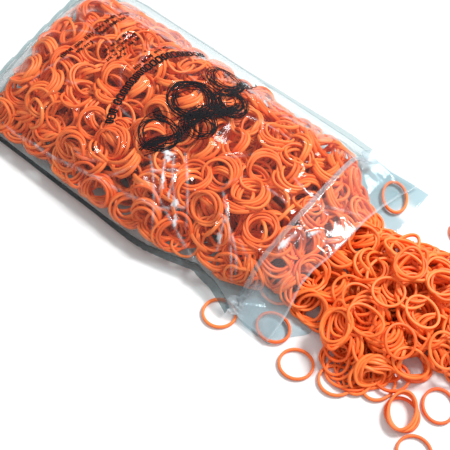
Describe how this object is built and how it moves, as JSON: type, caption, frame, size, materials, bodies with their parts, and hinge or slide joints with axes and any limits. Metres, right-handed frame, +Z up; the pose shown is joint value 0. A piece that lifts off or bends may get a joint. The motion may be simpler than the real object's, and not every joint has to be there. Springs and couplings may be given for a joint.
{
  "type": "bag of elastic leg bands",
  "caption": "Clear zip bag lying open on its back, full of elastic rubber leg bands for poultry, with part of the bands spilled in a heap at its mouth.",
  "frame": {"origin": "on the table under the middle of the bag's lower film", "axes": "+X from the closed end to the mouth, +Z up, +Y to the bag's right edge seen from its closed end's left"},
  "size_m": [0.4256, 0.1645, 0.0404],
  "materials": {
    "clear_film": "glossy clear film",
    "zip_plastic": "glossy clear ribs",
    "band_rubber": "satin orange rubber with a light dusting"
  },
  "bodies": {
    "bag": {"back_lip": "clear_film", "back_panel": "clear_film", "back_zip_track": "zip_plastic", "band_fill": "band_rubber", "band_heap": "band_rubber", "band_spill": "band_rubber", "corner_band_left": "band_rubber", "corner_band_mouth": "band_rubber", "corner_band_right": "band_rubber", "end_weld": "clear_film", "front_panel": "clear_film", "front_zip_track": "zip_plastic", "heap_band_01": "band_rubber", "heap_band_02": "band_rubber", "heap_band_03": "band_rubber", "heap_band_04": "band_rubber", "heap_band_05": "band_rubber", "heap_band_06": "band_rubber", "heap_band_07": "band_rubber", "heap_band_08": "band_rubber", "heap_band_09": "band_rubber", "heap_band_10": "band_rubber", "heap_band_11": "band_rubber", "heap_band_12": "band_rubber", "heap_band_13": "band_rubber", "heap_band_14": "band_rubber", "heap_band_15": "band_rubber", "heap_band_16": "band_rubber", "heap_band_17": "band_rubber", "heap_band_18": "band_rubber", "heap_band_19": "band_rubber", "heap_band_20": "band_rubber", "heap_band_21": "band_rubber", "left_side_weld": "clear_film", "right_side_weld": "clear_film", "zip_end_left": "zip_plastic", "zip_end_right": "zip_plastic"},
    "front_lip": {"front_lip": "clear_film"},
    "loose_band_01": {"loose_band_01": "band_rubber"},
    "loose_band_02": {"loose_band_02": "band_rubber"},
    "loose_band_03": {"loose_band_03": "band_rubber"},
    "loose_band_04": {"loose_band_04": "band_rubber"},
    "loose_band_05": {"loose_band_05": "band_rubber"},
    "loose_band_06": {"loose_band_06": "band_rubber"},
    "loose_band_07": {"loose_band_07": "band_rubber"},
    "loose_band_08": {"loose_band_08": "band_rubber"},
    "loose_band_09": {"loose_band_09": "band_rubber"},
    "loose_band_10": {"loose_band_10": "band_rubber"},
    "loose_band_11": {"loose_band_11": "band_rubber"},
    "loose_band_12": {"loose_band_12": "band_rubber"},
    "loose_band_13": {"loose_band_13": "band_rubber"},
    "loose_band_14": {"loose_band_14": "band_rubber"}
  },
  "joints": [
    {"name": "front_lip_hinge", "type": "hinge", "parent": "bag", "child": "front_lip", "pos_m": [0.0936, 0, 0.022], "axis": [0, -1, 0], "range_deg": [0, 20]},
    {"name": "loose_band_01_lift", "type": "slide", "parent": "bag", "child": "loose_band_01", "axis": [0, 0, 1], "range_m": [0, 0.04]},
    {"name": "loose_band_02_lift", "type": "slide", "parent": "bag", "child": "loose_band_02", "axis": [0, 0, 1], "range_m": [0, 0.04]},
    {"name": "loose_band_03_lift", "type": "slide", "parent": "bag", "child": "loose_band_03", "axis": [0, 0, 1], "range_m": [0, 0.04]},
    {"name": "loose_band_04_lift", "type": "slide", "parent": "bag", "child": "loose_band_04", "axis": [0, 0, 1], "range_m": [0, 0.04]},
    {"name": "loose_band_05_lift", "type": "slide", "parent": "bag", "child": "loose_band_05", "axis": [0, 0, 1], "range_m": [0, 0.04]},
    {"name": "loose_band_06_lift", "type": "slide", "parent": "bag", "child": "loose_band_06", "axis": [0, 0, 1], "range_m": [0, 0.04]},
    {"name": "loose_band_07_lift", "type": "slide", "parent": "bag", "child": "loose_band_07", "axis": [0, 0, 1], "range_m": [0, 0.04]},
    {"name": "loose_band_08_lift", "type": "slide", "parent": "bag", "child": "loose_band_08", "axis": [0, 0, 1], "range_m": [0, 0.04]},
    {"name": "loose_band_09_lift", "type": "slide", "parent": "bag", "child": "loose_band_09", "axis": [0, 0, 1], "range_m": [0, 0.04]},
    {"name": "loose_band_10_lift", "type": "slide", "parent": "bag", "child": "loose_band_10", "axis": [0, 0, 1], "range_m": [0, 0.04]},
    {"name": "loose_band_11_lift", "type": "slide", "parent": "bag", "child": "loose_band_11", "axis": [0, 0, 1], "range_m": [0, 0.04]},
    {"name": "loose_band_12_lift", "type": "slide", "parent": "bag", "child": "loose_band_12", "axis": [0, 0, 1], "range_m": [0, 0.04]},
    {"name": "loose_band_13_lift", "type": "slide", "parent": "bag", "child": "loose_band_13", "axis": [0, 0, 1], "range_m": [0, 0.04]},
    {"name": "loose_band_14_lift", "type": "slide", "parent": "bag", "child": "loose_band_14", "axis": [0, 0, 1], "range_m": [0, 0.04]}
  ]
}
